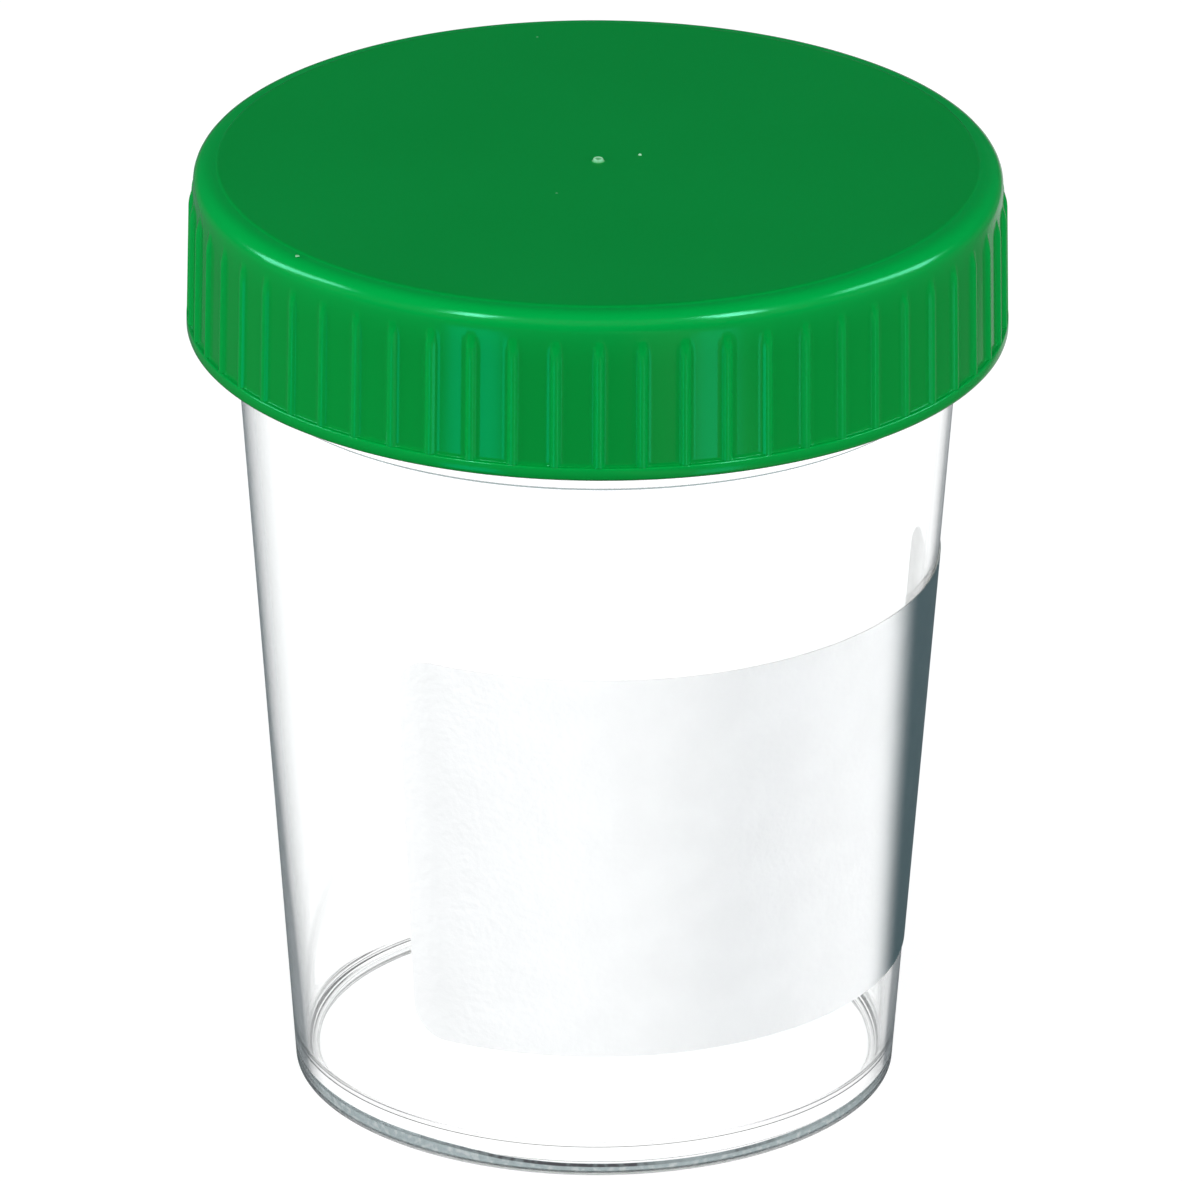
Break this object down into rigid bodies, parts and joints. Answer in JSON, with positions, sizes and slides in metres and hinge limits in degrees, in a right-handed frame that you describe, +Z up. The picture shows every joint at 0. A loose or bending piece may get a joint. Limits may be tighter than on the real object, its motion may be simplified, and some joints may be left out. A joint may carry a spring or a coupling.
{
  "type": "specimen container",
  "caption": "Clear tapered cup with a ribbed screw lid and a plain paper label, for collecting and keeping liquid specimens.",
  "frame": {"origin": "centre of the cup's foot, on the surface that it stands on", "axes": "+Z up along the axis of the cup and lid; the label's right-hand end is near +X and its middle faces -Y and +X"},
  "size_m": [0.066, 0.066, 0.0785],
  "materials": {
    "cup": "clear polished polystyrene",
    "lid": "green polyethylene, smooth with a slight sheen",
    "label": "matte white paper"
  },
  "bodies": {
    "cup": {"cup": "cup", "label": "label"},
    "lid": {"lid": "lid"}
  },
  "joints": [
    {"name": "lid_lift", "type": "slide", "parent": "cup", "child": "lid", "axis": [0, 0, 1], "range_m": [0, 0.03]}
  ]
}
